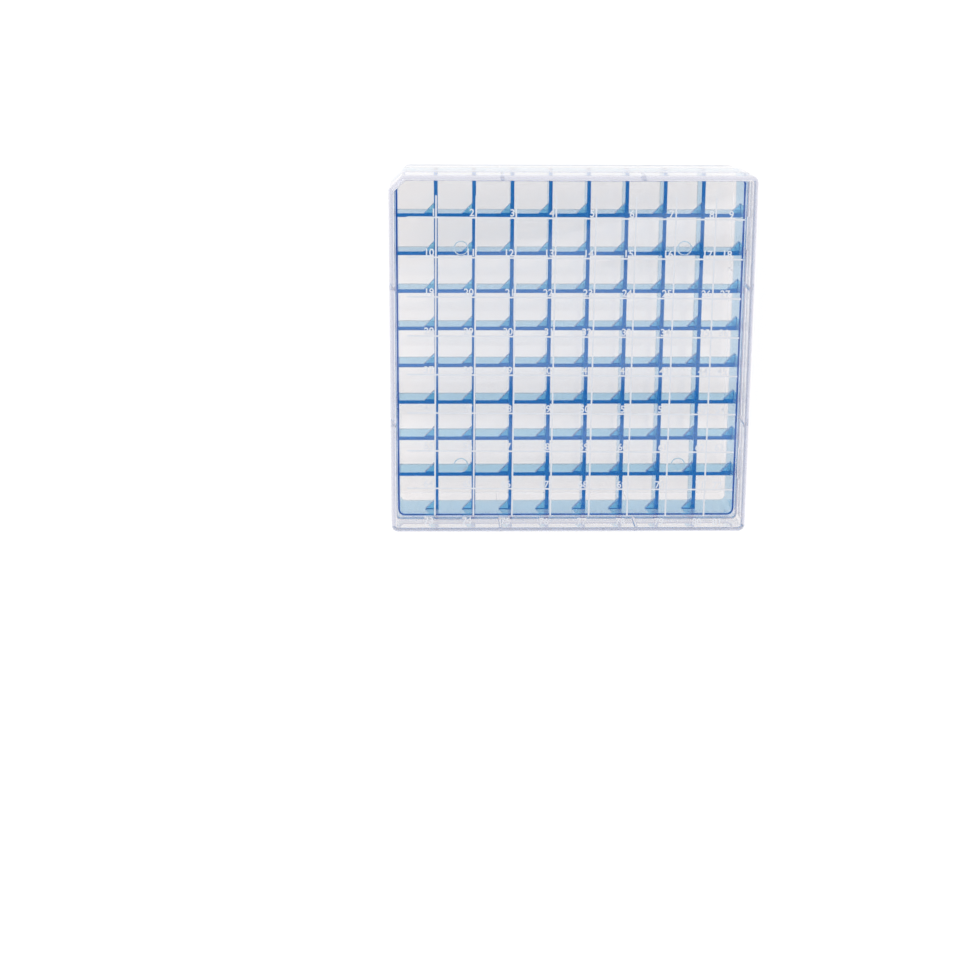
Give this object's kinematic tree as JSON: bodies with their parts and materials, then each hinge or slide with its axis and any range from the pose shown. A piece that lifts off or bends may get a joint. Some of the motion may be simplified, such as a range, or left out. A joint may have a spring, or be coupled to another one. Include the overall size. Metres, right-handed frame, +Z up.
{
  "type": "cryogenic storage box",
  "caption": "Square clear plastic freezer box with a lift-off lid and a lift-out blue cell grid that keeps screw-cap vials upright in numbered places.",
  "frame": {"origin": "on the table under the middle of the closed box", "axes": "+Z up out of the lid's top; the keyed corner is at -X +Y, where cell 1 is, and rows of cells run along +X"},
  "size_m": [0.134, 0.134, 0.052],
  "materials": {
    "clear_polycarbonate": "clear, smooth moulded",
    "blue_polycarbonate": "transparent blue, smooth moulded",
    "white_ink": "screen-printed"
  },
  "bodies": {
    "base": {"base": "clear_polycarbonate"},
    "grid": {"grid_frame": "blue_polycarbonate", "row_wall_1": "blue_polycarbonate", "row_wall_2": "blue_polycarbonate", "row_wall_3": "blue_polycarbonate", "row_wall_4": "blue_polycarbonate", "row_wall_5": "blue_polycarbonate", "row_wall_6": "blue_polycarbonate", "row_wall_7": "blue_polycarbonate", "row_wall_8": "blue_polycarbonate", "column_wall_1": "blue_polycarbonate", "column_wall_2": "blue_polycarbonate", "column_wall_3": "blue_polycarbonate", "column_wall_4": "blue_polycarbonate", "column_wall_5": "blue_polycarbonate", "column_wall_6": "blue_polycarbonate", "column_wall_7": "blue_polycarbonate", "column_wall_8": "blue_polycarbonate", "corner_webs": "blue_polycarbonate"},
    "lid": {"lid": "clear_polycarbonate"}
  },
  "joints": [
    {"name": "grid_lift", "type": "slide", "parent": "base", "child": "grid", "axis": [0, 0, 1], "range_m": [0, 0.045]},
    {"name": "lid_lift", "type": "slide", "parent": "grid", "child": "lid", "axis": [0, 0, 1], "range_m": [0, 0.06]}
  ]
}
